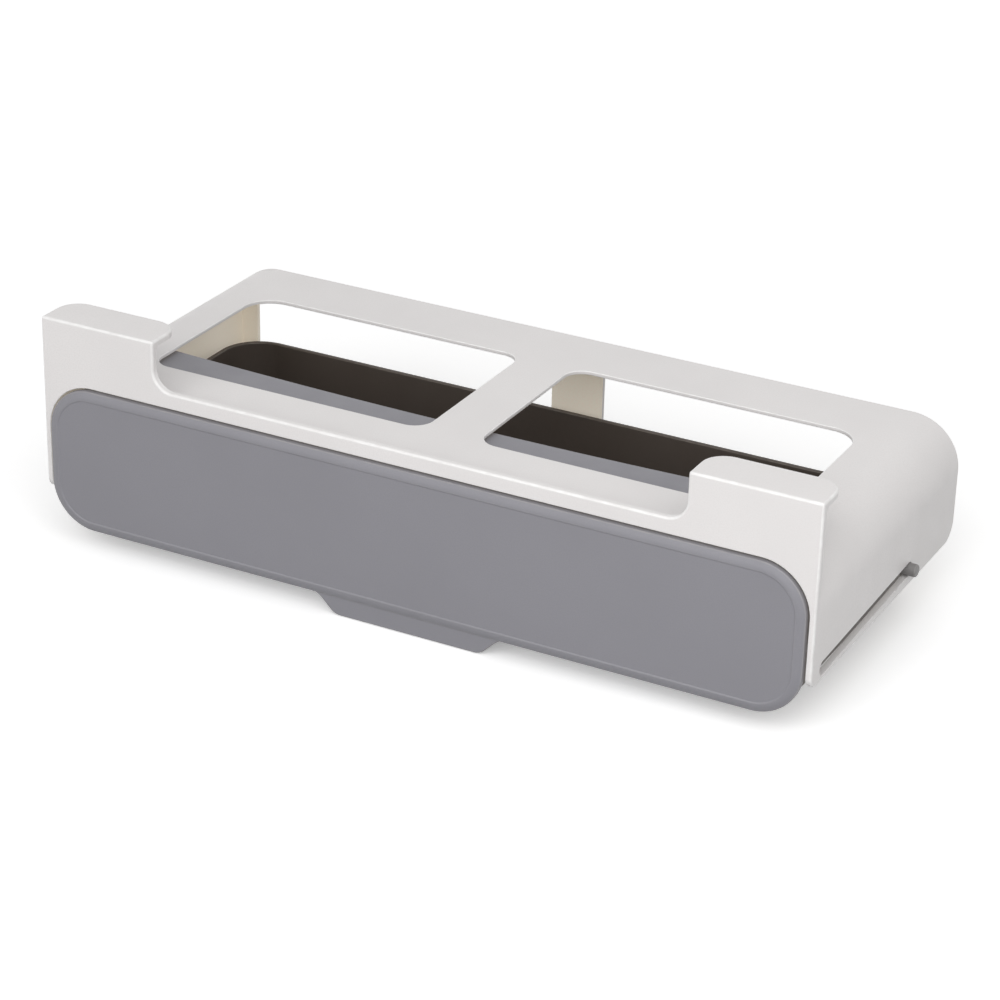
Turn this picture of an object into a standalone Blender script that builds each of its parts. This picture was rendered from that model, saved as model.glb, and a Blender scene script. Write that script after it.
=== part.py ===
# Under-shelf spice rack.
# A white frame lies against the underside of a cupboard shelf and hooks over the shelf's
# front edge. A grey drawer slides forward and a little down on two pins, and tips down about them.
# Metres, +Z up, front at -Y. The origin is the centre of the frame's top face.

import math

import bmesh
import bpy
from mathutils import Matrix

# Frame: a plate with round shoulders, two side walls and a thin front wall
FRAME_WIDTH = 0.3220
FRAME_DEPTH = 0.1405
FRAME_DROP = 0.0482  # top face to the side walls' lower edge
PLATE = 0.0016
SIDE_WALL = 0.0024
FRONT_WALL = 0.0026
SHOULDER_RADIUS = 0.0200
LOWER_REAR_RADIUS = 0.0080
LOWER_FRONT_RADIUS = 0.0045
LIP_HEIGHT = 0.0047  # front wall above the top face, between the ears
OPENING_RADIUS = 0.0195
EDGE_ROUND = 0.0010  # on the front wall's outline and on the hooks

# Ears and the hooks that reach back over the shelf
SHELF_GAP = 0.0215  # top face to the underside of a hook
HOOK_WALL = 0.0026
HOOK_REACH = 0.0199  # front face to the hook's rear edge
HOOK_RADIUS = 0.0095
EAR_WIDTH = 0.0506
EAR_ROOT_RADIUS = 0.0080

# Windows in the plate
CENTRE_BAR = 0.0228
WINDOW_WIDTH = 0.1207
WINDOW_DEPTH = 0.0801
WINDOW_SETBACK = 0.0308  # front face to the windows' front edge
WINDOW_FRONT_RADIUS = 0.0080
WINDOW_REAR_RADIUS = 0.0120

# Rear leg and the returns on the side walls' rear edges
LEG_WIDTH = 0.0226
LEG_WALL = 0.0022
LEG_RADIUS = 0.0030
RETURN_WIDTH = 0.0101
RETURN_WALL = 0.0020

# Pins and the slots that they slide in
PIN_RADIUS = 0.0025
PIN_PROUD = 0.0035  # beyond the side wall's outer face
PIN_COLLAR = 0.0010
PIN_COLLAR_RADIUS = 0.0039
PIN_TIP_ROUND = 0.0008
PIN_DROP = 0.0413  # top face to the pins' axis
PIN_SETBACK = 0.0930  # front face to the pins' axis, drawer closed
DRAWER_TRAVEL = 0.0828  # along the slots
SLOT_DIP = math.radians(1.6)  # fall of the slots toward the front
RUNNING_GAP = 0.0003

# Drawer front: a crowned panel with a pull, and a hood over the jars' ends
PANEL_GAP = 0.0008  # to the frame's opening
PANEL_HEIGHT = 0.0591
PANEL_PROUD = 0.0008  # rim ahead of the frame's front face
PANEL_WALL = 0.0025
CROWN_HEIGHT = 0.0012
CROWN_WIDTH = 0.0042
RIM_STEP = 0.0002  # the crown and the pull stand in from the rim by this
PULL_WIDTH = 0.0620
PULL_FLARE = 0.0080  # widening of the pull on each side, bottom to top
PULL_DROP = 0.0077
PULL_ROOT_RADIUS = 0.0080
PULL_ROOT_LAP = 0.0018  # of the pull's root over the panel's lower edge
PULL_TIP_RADIUS = 0.0060
HOOD_GAP = 0.0010  # below the frame's plate
HOOD_WALL = 0.0018
HOOD_DEPTH = 0.0461  # frame's front face to the middle of the hood's rear edge
HOOD_BOW = 0.0062  # how far the ends of that edge lie behind its middle
HOOD_RADIUS = 0.0170
CHEEK_WALL = 0.0020
CHEEK_LAP = 0.0120  # cheeks below the tray's rim
LEDGE_WIDTH = 0.2400
LEDGE_DEPTH = 0.0150
LEDGE_WALL = 0.0020
LEDGE_RADIUS = 0.0030

# Drawer tray
TRAY_SIDE_GAP = 0.0067  # to the side walls' inner faces
TRAY_REAR_GAP = 0.0085  # to the rear leg
TRAY_RIM_DROP = 0.0280  # top face to the tray's rim
TRAY_DEPTH = 0.0300
TRAY_WALL = 0.0020
TRAY_REAR_RADIUS = 0.0180
TRAY_FRONT_RADIUS = 0.0060
TRAY_FLOOR_RADIUS = 0.0050
BOSS_RADIUS = 0.0046
BOSS_FLOOR = 0.0010
SNAP_LENGTH = 0.0120
SNAP_HEIGHT = 0.0040
SNAP_PROUD = 0.0011
SNAP_SETBACK = 0.0240  # frame's front face to the middle of a snap lug

ARC_STEPS = 8  # facets in a quarter turn of a small radius
WIDE_ARC_STEPS = 14  # and of a wide one
BOW_STEPS = 24
PIN_STEPS = 28
OVERLAP = 0.0010  # depth by which joined solids enter each other
SHALLOW_OVERLAP = 0.0003
WELD = 0.000002

# Faces and centres that the pieces share
HALF_WIDTH = FRAME_WIDTH / 2
INNER_HALF = HALF_WIDTH - SIDE_WALL
FRONT_Y = -FRAME_DEPTH / 2
REAR_Y = FRAME_DEPTH / 2
BOTTOM_Z = -FRAME_DROP
SHELL_FRONT_Y = FRONT_Y + FRONT_WALL - SHALLOW_OVERLAP
HOOK_TOP_Z = SHELF_GAP + HOOK_WALL
SLOT_RADIUS = PIN_RADIUS + RUNNING_GAP
PIN_Y = FRONT_Y + PIN_SETBACK
PIN_Z = -PIN_DROP
RIM_Y = FRONT_Y - PANEL_PROUD
PANEL_BACK_Y = RIM_Y + PANEL_WALL
PANEL_HALF = INNER_HALF - PANEL_GAP
PANEL_TOP_Z = -PLATE - PANEL_GAP
PANEL_BOTTOM_Z = PANEL_TOP_Z - PANEL_HEIGHT
PANEL_RADIUS = OPENING_RADIUS - PANEL_GAP
TRAY_HALF = INNER_HALF - TRAY_SIDE_GAP
TRAY_FRONT_Y = PANEL_BACK_Y + RUNNING_GAP
TRAY_REAR_Y = REAR_Y - LEG_WALL - TRAY_REAR_GAP
TRAY_TOP_Z = -TRAY_RIM_DROP
TRAY_BOTTOM_Z = TRAY_TOP_Z - TRAY_DEPTH
CHEEK_INNER = TRAY_HALF + RUNNING_GAP
HOOD_HALF = CHEEK_INNER + CHEEK_WALL
HOOD_TOP_Z = -PLATE - HOOD_GAP
BOSS_END = INNER_HALF - PIN_COLLAR - 2 * RUNNING_GAP
PIN_INNER_END = TRAY_HALF + BOSS_FLOOR + RUNNING_GAP

# Directions for flat outlines: local X and Y become the two named axes
IN_XY = Matrix.Identity(4)
IN_XZ = Matrix.Rotation(math.radians(90), 4, "X")
IN_YZ = Matrix(((0, 0, 1, 0), (1, 0, 0, 0), (0, 1, 0, 0), (0, 0, 0, 1)))


def clear_scene():
    for item in list(bpy.data.objects):
        bpy.data.objects.remove(item, do_unlink=True)


def new_collection(name):
    group = bpy.data.collections.new(name)
    bpy.context.scene.collection.children.link(group)
    return group


def new_material(name, colour, roughness, metallic=0.0):
    material = bpy.data.materials.new(name)
    material.use_nodes = True
    shader = material.node_tree.nodes["Principled BSDF"]
    shader.inputs["Base Color"].default_value = (*colour, 1.0)
    shader.inputs["Roughness"].default_value = roughness
    shader.inputs["Metallic"].default_value = metallic
    return material


def rounded(corners, steps=ARC_STEPS):
    """Points round a closed outline whose corners are given as (x, y, radius)."""
    points = []
    for index, (x, y, radius) in enumerate(corners):
        if radius <= 0:
            points.append((x, y))
            continue
        before = corners[index - 1]
        after = corners[(index + 1) % len(corners)]
        to_before = math.atan2(before[1] - y, before[0] - x)
        to_after = math.atan2(after[1] - y, after[0] - x)
        opening = (to_after - to_before + math.pi) % (2 * math.pi) - math.pi
        half = abs(opening) / 2
        middle = to_before + opening / 2
        centre_x = x + radius / math.sin(half) * math.cos(middle)
        centre_y = y + radius / math.sin(half) * math.sin(middle)
        sweep = (math.pi - 2 * half) * (-1 if opening > 0 else 1)
        start = middle + math.pi - sweep / 2
        count = max(2, round(abs(sweep) / (math.pi / 2) * steps))
        for step in range(count + 1):
            angle = start + sweep * step / count
            points.append((centre_x + radius * math.cos(angle), centre_y + radius * math.sin(angle)))
    return points


def rectangle(left, right, low, high, radius=0.0, steps=ARC_STEPS):
    corners = ((left, low, radius), (right, low, radius), (right, high, radius), (left, high, radius))
    return rounded(corners, steps)


def flat_solid(name, points, plane, start, end, group):
    """A closed outline in a plane, filled and given thickness from start to end along its normal."""
    curve = bpy.data.curves.new(name + "_outline", "CURVE")
    curve.dimensions = "2D"
    curve.fill_mode = "BOTH"
    curve.extrude = abs(end - start) / 2
    spline = curve.splines.new("POLY")
    spline.points.add(len(points) - 1)
    for point, (x, y) in zip(spline.points, points):
        point.co = (x, y, 0.0, 1.0)
    spline.use_cyclic_u = True
    guide = bpy.data.objects.new(name + "_outline", curve)
    bpy.context.scene.collection.objects.link(guide)
    middle = (start + end) / 2
    normal = plane.to_3x3().col[2]
    sign = 1 if sum(normal) > 0 else -1
    guide.matrix_world = Matrix.Translation(normal * (middle * sign)) @ plane
    bpy.context.view_layer.update()
    source = guide.evaluated_get(bpy.context.evaluated_depsgraph_get())
    mesh = bpy.data.meshes.new_from_object(source)
    shape = bmesh.new()
    shape.from_mesh(mesh)
    bmesh.ops.remove_doubles(shape, verts=shape.verts, dist=WELD)
    bmesh.ops.recalc_face_normals(shape, faces=shape.faces)
    shape.to_mesh(mesh)
    shape.free()
    mesh.name = name
    solid = bpy.data.objects.new(name, mesh)
    solid.matrix_world = guide.matrix_world
    group.objects.link(solid)
    bpy.data.objects.remove(guide, do_unlink=True)
    return solid


def as_tool(item):
    item.hide_render = True
    item.display_type = "WIRE"
    return item


def combine(body, tool, operation):
    modifier = body.modifiers.new(operation.lower() + "_" + tool.name, "BOOLEAN")
    modifier.operation = operation
    modifier.solver = "EXACT"
    modifier.object = as_tool(tool)


def settle(body):
    """Replaces a body's mesh by what its modifiers make of it, in world coordinates."""
    bpy.context.view_layer.update()
    source = body.evaluated_get(bpy.context.evaluated_depsgraph_get())
    mesh = bpy.data.meshes.new_from_object(source)
    mesh.transform(body.matrix_world)
    body.modifiers.clear()
    body.data = mesh
    body.matrix_world = Matrix.Identity(4)


def shade(body, angle=30):
    body.data.shade_smooth()
    body.data.set_sharp_from_angle(angle=math.radians(angle))


def shell_outline():
    inner_radius = SHOULDER_RADIUS - SIDE_WALL
    return rounded((
        (-HALF_WIDTH, BOTTOM_Z, 0), (-HALF_WIDTH, 0, SHOULDER_RADIUS),
        (HALF_WIDTH, 0, SHOULDER_RADIUS), (HALF_WIDTH, BOTTOM_Z, 0),
        (INNER_HALF, BOTTOM_Z, 0), (INNER_HALF, -PLATE, inner_radius),
        (-INNER_HALF, -PLATE, inner_radius), (-INNER_HALF, BOTTOM_Z, 0)), WIDE_ARC_STEPS)


def front_wall_outline():
    """Square outer corners, an ear at each end, a lip between them, and the drawer's opening."""
    ear_inner = HALF_WIDTH - EAR_WIDTH
    right = (
        (INNER_HALF, -PLATE, OPENING_RADIUS), (INNER_HALF, BOTTOM_Z, 0),
        (HALF_WIDTH, BOTTOM_Z, 0), (HALF_WIDTH, HOOK_TOP_Z, 0),
        (ear_inner, HOOK_TOP_Z, 0), (ear_inner, LIP_HEIGHT, EAR_ROOT_RADIUS))
    left = tuple((-x, z, radius) for x, z, radius in reversed(right))
    return rounded(right + left, WIDE_ARC_STEPS)


def hook_outline(side):
    ear_inner = HALF_WIDTH - EAR_WIDTH
    rear = FRONT_Y + HOOK_REACH
    return rounded((
        (side * ear_inner, FRONT_Y, 0), (side * HALF_WIDTH, FRONT_Y, 0),
        (side * HALF_WIDTH, rear, HOOK_RADIUS), (side * ear_inner, rear, HOOK_RADIUS)))


def window_outline(side):
    inner = side * CENTRE_BAR / 2
    outer = side * (CENTRE_BAR / 2 + WINDOW_WIDTH)
    front = FRONT_Y + WINDOW_SETBACK
    rear = front + WINDOW_DEPTH
    return rounded((
        (inner, front, WINDOW_FRONT_RADIUS), (outer, front, WINDOW_FRONT_RADIUS),
        (outer, rear, WINDOW_REAR_RADIUS), (inner, rear, WINDOW_FRONT_RADIUS)))


def return_outline(side):
    """A strip inside the shell's rear edge, from the lower edge up into the shoulder."""
    middle_radius = SHOULDER_RADIUS - SIDE_WALL / 2
    centre_x = HALF_WIDTH - SHOULDER_RADIUS
    centre_z = -(SHOULDER_RADIUS + PLATE / 2)
    inner_x = HALF_WIDTH - RETURN_WIDTH
    top_angle = math.acos(min(1.0, max(0.0, (inner_x - centre_x) / middle_radius)))
    points = [(side * inner_x, BOTTOM_Z), (side * (centre_x + middle_radius), BOTTOM_Z)]
    for step in range(ARC_STEPS + 1):
        angle = top_angle * step / ARC_STEPS
        x = centre_x + middle_radius * math.cos(angle)
        points.append((side * x, centre_z + middle_radius * math.sin(angle)))
    return points


def corner_outline(y, z, radius, toward):
    """What a side wall's lower corner loses to its radius. toward is the way off the corner, in Y."""
    beyond = OVERLAP
    points = [(y + toward * beyond, z - beyond), (y + toward * beyond, z + radius)]
    for step in range(ARC_STEPS + 1):
        angle = math.pi / 2 * step / ARC_STEPS
        points.append((
            y - toward * radius * (1 - math.cos(angle)),
            z + radius * (1 - math.sin(angle))))
    points.append((y - toward * radius, z - beyond))
    return points


def slot_outline():
    """A slot that falls toward the front, from the pins' place with the drawer closed."""
    corners = []
    for reach, rise in rectangle(-SLOT_RADIUS, DRAWER_TRAVEL + SLOT_RADIUS, -SLOT_RADIUS, SLOT_RADIUS):
        corners.append((
            PIN_Y - reach * math.cos(SLOT_DIP) - rise * math.sin(SLOT_DIP),
            PIN_Z - reach * math.sin(SLOT_DIP) + rise * math.cos(SLOT_DIP),
            SLOT_RADIUS))
    return rounded(corners)


def leg_outline():
    half = LEG_WIDTH / 2
    return rounded((
        (-half, BOTTOM_Z, LEG_RADIUS), (half, BOTTOM_Z, LEG_RADIUS),
        (half, -PLATE / 2, 0), (-half, -PLATE / 2, 0)))


def round_front_edges(body):
    """Marks the edges of the front face and of the hooks' tops for the bevel."""
    mesh = body.data
    weights = mesh.attributes.new("bevel_weight_edge", "FLOAT", "EDGE")
    shape = bmesh.new()
    shape.from_mesh(mesh)
    near = OVERLAP / 20
    for edge in shape.edges:
        ends = [vertex.co for vertex in edge.verts]
        in_front = all(abs(end.y - FRONT_Y) < near for end in ends)
        on_top = all(abs(end.z - HOOK_TOP_Z) < near for end in ends)
        turned = len(edge.link_faces) == 2 and edge.calc_face_angle(0.0) > math.radians(60)
        weights.data[edge.index].value = 1.0 if turned and (in_front or on_top) else 0.0
    shape.free()
    bevel = body.modifiers.new("edge_round", "BEVEL")
    bevel.limit_method = "WEIGHT"
    bevel.width = EDGE_ROUND
    bevel.segments = 2


def build_frame(parts, tools):
    frame = flat_solid("frame", shell_outline(), IN_XZ, SHELL_FRONT_Y, REAR_Y, parts)
    for side, label in ((-1, "left"), (1, "right")):
        strip = flat_solid("return_" + label, return_outline(side), IN_XZ,
                           REAR_Y - RETURN_WALL, REAR_Y, tools)
        combine(frame, strip, "UNION")
    across = HALF_WIDTH + OVERLAP
    rear_corner = flat_solid("lower_rear_corner", corner_outline(REAR_Y, BOTTOM_Z, LOWER_REAR_RADIUS, 1),
                             IN_YZ, -across, across, tools)
    combine(frame, rear_corner, "DIFFERENCE")
    leg = flat_solid("leg", leg_outline(), IN_XZ, REAR_Y - LEG_WALL, REAR_Y, tools)
    combine(frame, leg, "UNION")
    front = flat_solid("front_wall", front_wall_outline(), IN_XZ, FRONT_Y, FRONT_Y + FRONT_WALL, tools)
    combine(frame, front, "UNION")
    for side, label in ((-1, "left"), (1, "right")):
        hook = flat_solid("hook_" + label, hook_outline(side), IN_XY, SHELF_GAP, HOOK_TOP_Z, tools)
        combine(frame, hook, "UNION")
        window = flat_solid("window_" + label, window_outline(side), IN_XY,
                            -SHOULDER_RADIUS / 2, OVERLAP, tools)
        combine(frame, window, "DIFFERENCE")
    front_corner = flat_solid("lower_front_corner",
                              corner_outline(FRONT_Y, BOTTOM_Z, LOWER_FRONT_RADIUS, -1),
                              IN_YZ, -across, across, tools)
    combine(frame, front_corner, "DIFFERENCE")
    slots = flat_solid("slots", slot_outline(), IN_YZ, -across, across, tools)
    combine(frame, slots, "DIFFERENCE")
    settle(frame)
    round_front_edges(frame)
    shade(frame)
    frame.data.materials.append(new_material("white_plastic", (0.72, 0.71, 0.70), 0.42))
    return frame


def panel_outline(inset, radius):
    return rectangle(-PANEL_HALF + inset, PANEL_HALF - inset, PANEL_BOTTOM_Z + inset,
                     PANEL_TOP_Z - inset, radius - inset, WIDE_ARC_STEPS)


def pull_outline():
    """The pull under the panel, flaring into the panel's lower edge."""
    foot = PANEL_BOTTOM_Z - PULL_DROP
    seam = PANEL_BOTTOM_Z + RIM_STEP
    tip = PULL_WIDTH / 2
    root = tip + PULL_FLARE
    end = root + PULL_ROOT_RADIUS
    right = ((tip, foot, PULL_TIP_RADIUS), (root, seam, PULL_ROOT_RADIUS),
             (end, seam, 0), (end, seam + PULL_ROOT_LAP, 0))
    left = tuple((-x, z, radius) for x, z, radius in reversed(right))
    return rounded(right + left)


def crown(tools):
    """The panel's raised face: a slab whose front draws in over three soft steps."""
    outline = panel_outline(RIM_STEP, PANEL_RADIUS)
    slab = flat_solid("crown", outline, IN_XZ, RIM_Y - RIM_STEP, RIM_Y + PANEL_WALL / 2, tools)
    settle(slab)
    shape = bmesh.new()
    shape.from_mesh(slab.data)
    faces = [face for face in shape.faces if face.normal.y < -0.9]
    for width, height in ((0.25, 0.50), (0.35, 0.34), (0.40, 0.16)):
        bmesh.ops.inset_region(shape, faces=faces, thickness=width * CROWN_WIDTH,
                               depth=height * (CROWN_HEIGHT - RIM_STEP), use_even_offset=True)
    shape.to_mesh(slab.data)
    shape.free()
    return slab


def hood_outline():
    low = TRAY_TOP_Z - CHEEK_LAP
    inner_radius = HOOD_RADIUS - CHEEK_WALL
    return rounded((
        (-HOOD_HALF, low, 0), (-HOOD_HALF, HOOD_TOP_Z, HOOD_RADIUS),
        (HOOD_HALF, HOOD_TOP_Z, HOOD_RADIUS), (HOOD_HALF, low, 0),
        (CHEEK_INNER, low, 0), (CHEEK_INNER, HOOD_TOP_Z - HOOD_WALL, inner_radius),
        (-CHEEK_INNER, HOOD_TOP_Z - HOOD_WALL, inner_radius), (-CHEEK_INNER, low, 0)),
        WIDE_ARC_STEPS)


def hood_rear_outline(reach):
    """Everything behind the hood's bowed rear edge, out to reach."""
    points = [(reach, reach), (-reach, reach)]
    for step in range(BOW_STEPS + 1):
        share = 2 * step / BOW_STEPS - 1
        points.append((share * reach, FRONT_Y + HOOD_DEPTH + HOOD_BOW * (share * reach / HOOD_HALF) ** 2))
    return points


def snap_outline(gap):
    middle_y = FRONT_Y + SNAP_SETBACK
    middle_z = TRAY_TOP_Z - CHEEK_LAP / 2
    return rectangle(middle_y - SNAP_LENGTH / 2 - gap, middle_y + SNAP_LENGTH / 2 + gap,
                     middle_z - SNAP_HEIGHT / 2 - gap, middle_z + SNAP_HEIGHT / 2 + gap)


def build_drawer_front(parts, tools):
    front = flat_solid("drawer_front", panel_outline(0, PANEL_RADIUS), IN_XZ, RIM_Y, PANEL_BACK_Y, parts)
    combine(front, crown(tools), "UNION")
    pull = flat_solid("pull", pull_outline(), IN_XZ, RIM_Y + RIM_STEP, PANEL_BACK_Y - RIM_STEP, tools)
    combine(front, pull, "UNION")
    hood = flat_solid("hood", hood_outline(), IN_XZ, PANEL_BACK_Y - OVERLAP / 2,
                      FRONT_Y + HOOD_DEPTH + 2 * HOOD_BOW, tools)
    behind = flat_solid("behind_hood", hood_rear_outline(HALF_WIDTH), IN_XY,
                        -FRAME_DROP - OVERLAP, OVERLAP, tools)
    combine(hood, behind, "DIFFERENCE")
    combine(front, hood, "UNION")
    ledge_top = TRAY_BOTTOM_Z - RUNNING_GAP
    ledge_rear = PANEL_BACK_Y + LEDGE_DEPTH
    ledge = flat_solid("ledge", rounded((
        (-LEDGE_WIDTH / 2, PANEL_BACK_Y - OVERLAP / 2, 0), (LEDGE_WIDTH / 2, PANEL_BACK_Y - OVERLAP / 2, 0),
        (LEDGE_WIDTH / 2, ledge_rear, LEDGE_RADIUS), (-LEDGE_WIDTH / 2, ledge_rear, LEDGE_RADIUS))),
        IN_XY, ledge_top - LEDGE_WALL, ledge_top, tools)
    combine(front, ledge, "UNION")
    snap_slots = flat_solid("snap_slots", snap_outline(RUNNING_GAP), IN_YZ, -HALF_WIDTH, HALF_WIDTH, tools)
    combine(front, snap_slots, "DIFFERENCE")
    settle(front)
    shade(front)
    front.data.materials.append(new_material("grey_plastic", (0.25, 0.25, 0.27), 0.5))
    return front


def tray_shell(parts):
    """Floor and walls as an open skin, thickened inwards."""
    skin = bpy.data.meshes.new("drawer_tray")
    shape = bmesh.new()
    outline = rounded((
        (-TRAY_HALF, TRAY_FRONT_Y, TRAY_FRONT_RADIUS), (TRAY_HALF, TRAY_FRONT_Y, TRAY_FRONT_RADIUS),
        (TRAY_HALF, TRAY_REAR_Y, TRAY_REAR_RADIUS), (-TRAY_HALF, TRAY_REAR_Y, TRAY_REAR_RADIUS)),
        WIDE_ARC_STEPS)
    floor = shape.faces.new([shape.verts.new((x, y, TRAY_BOTTOM_Z)) for x, y in outline])
    rim_loop = list(floor.edges)
    raised = bmesh.ops.extrude_edge_only(shape, edges=rim_loop)["geom"]
    walls = [item for item in raised if isinstance(item, bmesh.types.BMVert)]
    bmesh.ops.translate(shape, verts=walls, vec=(0, 0, TRAY_DEPTH))
    bmesh.ops.bevel(shape, geom=rim_loop, offset=TRAY_FLOOR_RADIUS, segments=4, profile=0.5,
                    affect="EDGES")
    bmesh.ops.recalc_face_normals(shape, faces=shape.faces)
    if max(shape.faces, key=lambda face: face.calc_area()).normal.z > 0:
        bmesh.ops.reverse_faces(shape, faces=shape.faces)
    shape.to_mesh(skin)
    shape.free()
    tray = bpy.data.objects.new("drawer_tray", skin)
    parts.objects.link(tray)
    wall = tray.modifiers.new("wall", "SOLIDIFY")
    wall.thickness = TRAY_WALL
    wall.offset = -1
    wall.use_even_offset = True
    return tray


def cylinder_across(name, radius, start, end, steps, tools):
    """A cylinder along X about the pins' axis."""
    mesh = bpy.data.meshes.new(name)
    shape = bmesh.new()
    bmesh.ops.create_cone(shape, cap_ends=True, segments=steps, radius1=radius, radius2=radius,
                          depth=abs(end - start))
    shape.to_mesh(mesh)
    shape.free()
    item = bpy.data.objects.new(name, mesh)
    item.matrix_world = (Matrix.Translation(((start + end) / 2, PIN_Y, PIN_Z))
                         @ Matrix.Rotation(math.radians(90), 4, "Y"))
    tools.objects.link(item)
    return item


def build_drawer_tray(parts, tools):
    tray = tray_shell(parts)
    wall_middle = TRAY_HALF - TRAY_WALL / 2
    for side, label in ((-1, "left"), (1, "right")):
        boss = cylinder_across("boss_" + label, BOSS_RADIUS, side * wall_middle, side * BOSS_END,
                               PIN_STEPS, tools)
        combine(tray, boss, "UNION")
        bore = cylinder_across("boss_bore_" + label, PIN_RADIUS + RUNNING_GAP,
                               side * (TRAY_HALF + BOSS_FLOOR), side * (BOSS_END + OVERLAP),
                               PIN_STEPS, tools)
        combine(tray, bore, "DIFFERENCE")
        lug = flat_solid("snap_" + label, snap_outline(0), IN_YZ,
                         side * wall_middle, side * (TRAY_HALF + RUNNING_GAP + SNAP_PROUD), tools)
        combine(tray, lug, "UNION")
    settle(tray)
    shade(tray)
    tray.data.materials.append(new_material("charcoal_plastic", (0.035, 0.031, 0.028), 0.5))
    return tray


def pin_mesh():
    """Half section of a pin along local Z, from its rounded tip down to its inner end."""
    tip = HALF_WIDTH + PIN_PROUD
    collar_out = INNER_HALF - RUNNING_GAP
    collar_in = collar_out - PIN_COLLAR
    section = [(0.0, tip)]
    for step in range(ARC_STEPS // 2 + 1):
        angle = math.pi / 2 * (1 - step / (ARC_STEPS // 2))
        section.append((PIN_RADIUS - PIN_TIP_ROUND * (1 - math.cos(angle)),
                        tip - PIN_TIP_ROUND * (1 - math.sin(angle))))
    section += [(PIN_RADIUS, collar_out), (PIN_COLLAR_RADIUS, collar_out),
                (PIN_COLLAR_RADIUS, collar_in), (PIN_RADIUS, collar_in),
                (PIN_RADIUS, PIN_INNER_END), (0.0, PIN_INNER_END)]
    mesh = bpy.data.meshes.new("pivot_pin")
    mesh.from_pydata([(radius, 0, height) for radius, height in section],
                     [(index, index + 1) for index in range(len(section) - 1)], [])
    return mesh


def build_pins(parts):
    material = new_material("pin_plastic", (0.22, 0.21, 0.205), 0.45)
    for side, label in ((-1, "left"), (1, "right")):
        pin = bpy.data.objects.new("pivot_pin_" + label, pin_mesh())
        parts.objects.link(pin)
        turn = pin.modifiers.new("turn", "SCREW")
        turn.steps = PIN_STEPS
        turn.render_steps = PIN_STEPS
        turn.use_merge_vertices = True
        turn.merge_threshold = WELD
        turn.use_smooth_shade = True
        pin.matrix_world = (Matrix.Translation((0, PIN_Y, PIN_Z))
                            @ Matrix.Rotation(side * math.radians(90), 4, "Y"))
        pin.data.materials.append(material)


def main():
    clear_scene()
    parts = new_collection("under_shelf_spice_rack")
    tools = new_collection("cutters")
    build_frame(parts, tools)
    build_drawer_front(parts, tools)
    build_drawer_tray(parts, tools)
    build_pins(parts)


main()
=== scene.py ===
import math

import bmesh
import bpy
from mathutils import Matrix, Vector


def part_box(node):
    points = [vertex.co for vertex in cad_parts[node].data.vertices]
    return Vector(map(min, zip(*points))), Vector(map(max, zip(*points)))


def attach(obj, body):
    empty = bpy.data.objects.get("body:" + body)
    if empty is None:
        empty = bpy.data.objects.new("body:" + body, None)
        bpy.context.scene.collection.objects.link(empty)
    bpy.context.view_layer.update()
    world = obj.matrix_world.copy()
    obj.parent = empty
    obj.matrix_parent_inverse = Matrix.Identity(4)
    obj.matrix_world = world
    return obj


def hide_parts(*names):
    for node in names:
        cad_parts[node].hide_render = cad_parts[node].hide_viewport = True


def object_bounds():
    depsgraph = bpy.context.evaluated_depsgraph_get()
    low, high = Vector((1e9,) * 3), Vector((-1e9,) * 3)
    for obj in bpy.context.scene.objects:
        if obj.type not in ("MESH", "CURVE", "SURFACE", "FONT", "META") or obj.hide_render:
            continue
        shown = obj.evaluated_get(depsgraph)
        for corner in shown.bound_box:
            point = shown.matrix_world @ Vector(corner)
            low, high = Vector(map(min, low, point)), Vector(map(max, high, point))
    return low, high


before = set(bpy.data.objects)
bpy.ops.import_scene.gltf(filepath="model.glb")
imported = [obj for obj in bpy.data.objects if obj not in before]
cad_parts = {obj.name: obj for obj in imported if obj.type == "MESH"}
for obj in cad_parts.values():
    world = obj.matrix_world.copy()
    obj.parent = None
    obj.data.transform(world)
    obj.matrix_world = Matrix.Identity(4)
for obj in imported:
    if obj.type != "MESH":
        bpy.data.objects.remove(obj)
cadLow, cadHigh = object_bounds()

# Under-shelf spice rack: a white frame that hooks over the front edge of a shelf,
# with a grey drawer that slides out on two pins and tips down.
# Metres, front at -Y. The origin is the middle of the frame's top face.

mm = 0.001
hair = 0.02 * mm  # how near a plane an edge lies to count as on it
cornerSteps = 12  # facets of a quarter turn at an outer corner
roundSteps = 48  # facets of a full turn at pins and bores


def quarterTurn(steps):
    # cosine and sine at each step
    return [(math.cos(math.pi / 2 * k / steps), math.sin(math.pi / 2 * k / steps))
            for k in range(steps + 1)]


def roundCorners(corners, steps=12):
    # corners are (x, y, radius); steps are the facets of a quarter turn
    points = []
    for i, (x, y, radius) in enumerate(corners):
        here = Vector((x, y))
        if not radius:
            points.append(here)
            continue
        back = (Vector(corners[i - 1][:2]) - here).normalized()
        ahead = (Vector(corners[(i + 1) % len(corners)][:2]) - here).normalized()
        half = back.angle(ahead) / 2
        centre = here + (back + ahead).normalized() * (radius / math.sin(half))
        startArm = here + back * (radius / math.tan(half)) - centre
        endArm = here + ahead * (radius / math.tan(half)) - centre
        turn = -startArm.angle_signed(endArm)
        first = math.atan2(startArm.y, startArm.x)
        count = max(2, round(abs(turn) / (math.pi / 2) * steps))
        for k in range(count + 1):
            angle = first + turn * k / count
            points.append(centre + Vector((math.cos(angle), math.sin(angle))) * radius)
    return points


def box2d(left, right, low, high):
    return [Vector((left, low)), Vector((right, low)), Vector((right, high)), Vector((left, high))]


def mirrored(half):
    # a right half, listed downwards or upwards, and the same on the left
    return list(half) + [(-x, y, radius) for x, y, radius in reversed(half)]


def place(plane, point, depth):
    x, y = point
    return Vector({"xy": (x, y, depth), "xz": (x, depth, y), "yz": (depth, x, y)}[plane])


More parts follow.
